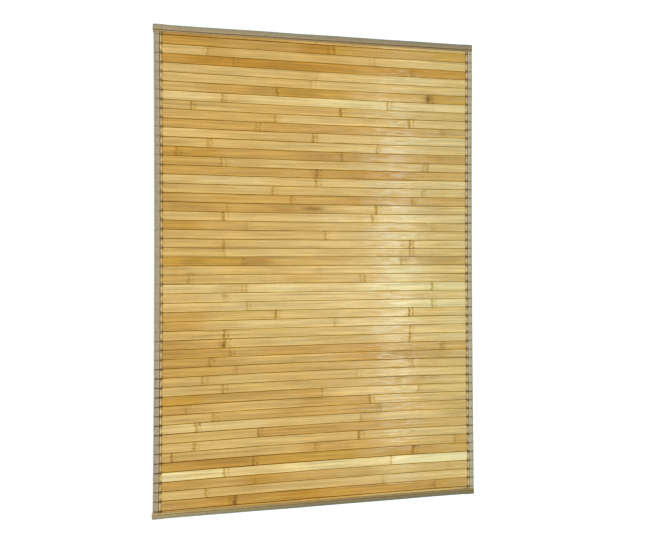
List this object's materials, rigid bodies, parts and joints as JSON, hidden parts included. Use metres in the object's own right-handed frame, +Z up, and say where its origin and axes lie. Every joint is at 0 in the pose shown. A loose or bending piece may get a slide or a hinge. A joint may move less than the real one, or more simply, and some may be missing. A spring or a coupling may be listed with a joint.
{
  "type": "bamboo slat rug",
  "caption": "Flat rectangular rug of flat bamboo slats side by side, its four edges bound in folded woven cloth.",
  "frame": {"origin": "on the floor, under the middle of the rug", "axes": "+Y along the rug's length towards its head, +X across it along the slats, +Z up"},
  "size_m": [0.6166, 0.9144, 0.0089],
  "materials": {
    "bamboo_cream": "planed bamboo under a satin varnish, fine lengthwise fibres",
    "bamboo_straw": "planed bamboo under a satin varnish, fine lengthwise fibres",
    "bamboo_wheat": "planed bamboo under a satin varnish, fine lengthwise fibres",
    "bamboo_honey": "planed bamboo under a satin varnish, fine lengthwise fibres",
    "bamboo_amber": "planed bamboo under a satin varnish, fine lengthwise fibres",
    "binding_cloth": "plain woven taupe cloth tape, matt"
  },
  "bodies": {
    "root": {"binding_head": "binding_cloth", "binding_foot": "binding_cloth", "binding_left": "binding_cloth", "binding_right": "binding_cloth", "slat_01": "bamboo_straw", "slat_02": "bamboo_amber", "slat_03": "bamboo_straw", "slat_04": "bamboo_amber", "slat_05": "bamboo_straw", "slat_06": "bamboo_wheat", "slat_07": "bamboo_honey", "slat_08": "bamboo_straw", "slat_09": "bamboo_wheat", "slat_10": "bamboo_straw", "slat_11": "bamboo_honey", "slat_12": "bamboo_straw", "slat_13": "bamboo_straw", "slat_14": "bamboo_honey", "slat_15": "bamboo_wheat", "slat_16": "bamboo_honey", "slat_17": "bamboo_straw", "slat_18": "bamboo_straw", "slat_19": "bamboo_honey", "slat_20": "bamboo_honey", "slat_21": "bamboo_straw", "slat_22": "bamboo_honey", "slat_23": "bamboo_wheat", "slat_24": "bamboo_wheat", "slat_25": "bamboo_wheat", "slat_26": "bamboo_amber", "slat_27": "bamboo_straw", "slat_28": "bamboo_honey", "slat_29": "bamboo_straw", "slat_30": "bamboo_wheat", "slat_31": "bamboo_straw", "slat_32": "bamboo_honey", "slat_33": "bamboo_wheat", "slat_34": "bamboo_wheat", "slat_35": "bamboo_honey", "slat_36": "bamboo_honey", "slat_37": "bamboo_wheat", "slat_38": "bamboo_honey", "slat_39": "bamboo_wheat", "slat_40": "bamboo_wheat", "slat_41": "bamboo_amber", "slat_42": "bamboo_wheat", "slat_43": "bamboo_honey", "slat_44": "bamboo_straw", "slat_45": "bamboo_honey", "slat_46": "bamboo_straw", "slat_47": "bamboo_honey", "slat_48": "bamboo_amber", "slat_49": "bamboo_cream", "slat_50": "bamboo_honey", "slat_51": "bamboo_straw", "slat_52": "bamboo_amber", "slat_53": "bamboo_straw"}
  },
  "joints": []
}
